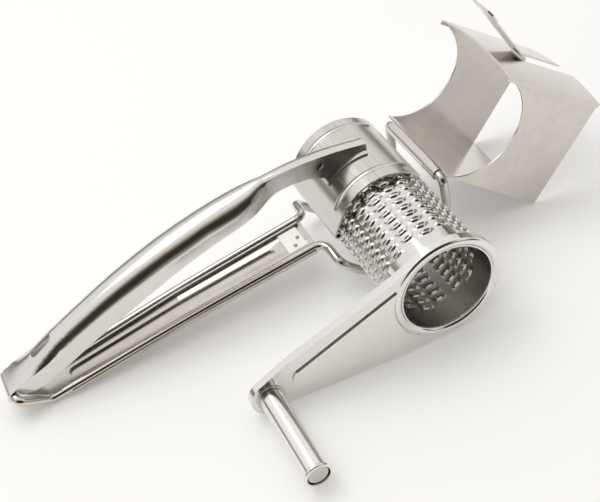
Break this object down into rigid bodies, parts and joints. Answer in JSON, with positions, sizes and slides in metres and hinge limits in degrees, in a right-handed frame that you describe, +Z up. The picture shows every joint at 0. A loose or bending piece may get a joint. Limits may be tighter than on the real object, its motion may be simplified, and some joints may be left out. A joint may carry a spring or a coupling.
{
  "type": "rotary drum grater",
  "caption": "Hand-cranked drum grater: two handles hinged at the tail, wire cradle, toothed drum with crank and knob, and a fold-open hopper with a latch tongue.",
  "frame": {"origin": "middle of the bounding box, on the table the wire frame stands on", "axes": "+X from the tail hinge to the hopper, +Y along the drum axis away from the crank, +Z up"},
  "size_m": [0.2782, 0.1372, 0.0921],
  "materials": {
    "wire_steel": "polished stainless wire",
    "plate_steel": "polished pressed sheet",
    "handle_steel": "mirror-polished pressed sheet",
    "presser_steel": "satin-polished pressed sheet",
    "hopper_steel": "satin stainless sheet",
    "drum_steel": "polished punched sheet",
    "crank_steel": "mirror-polished pressed sheet",
    "knob_steel": "polished turned steel",
    "pin_steel": "plain steel rivet"
  },
  "bodies": {
    "frame": {"wire_frame": "wire_steel", "lower_handle_plate": "plate_steel", "catch_plate": "plate_steel", "catch_rivets": "pin_steel"},
    "handle": {"upper_handle": "handle_steel", "presser_plate": "presser_steel"},
    "hopper": {"hopper_body": "hopper_steel", "hopper_rear_wall": "hopper_steel"},
    "drum": {"drum_shell": "drum_steel", "crank_arm": "crank_steel", "knob_pin": "pin_steel", "knob_washer": "pin_steel"},
    "knob": {"knob_sleeve": "knob_steel"}
  },
  "joints": [
    {"name": "handle_hinge", "type": "hinge", "parent": "frame", "child": "handle", "pos_m": [-0.13601, 0.04135, 0.011], "axis": [0, -1, 0], "range_deg": [0, 80]},
    {"name": "hopper_hinge", "type": "hinge", "parent": "frame", "child": "hopper", "pos_m": [0.06098, 0.04135, 0.0353], "axis": [0, -1, 0], "range_deg": [0, 100]},
    {"name": "drum_spin", "type": "hinge", "parent": "frame", "child": "drum", "pos_m": [0.03449, 0.04135, 0.0258], "axis": [0, 1, 0], "continuous": true},
    {"name": "knob_spin", "type": "hinge", "parent": "drum", "child": "knob", "pos_m": [-0.04512, -0.04865, 0.0082], "axis": [0, 1, 0], "continuous": true}
  ]
}
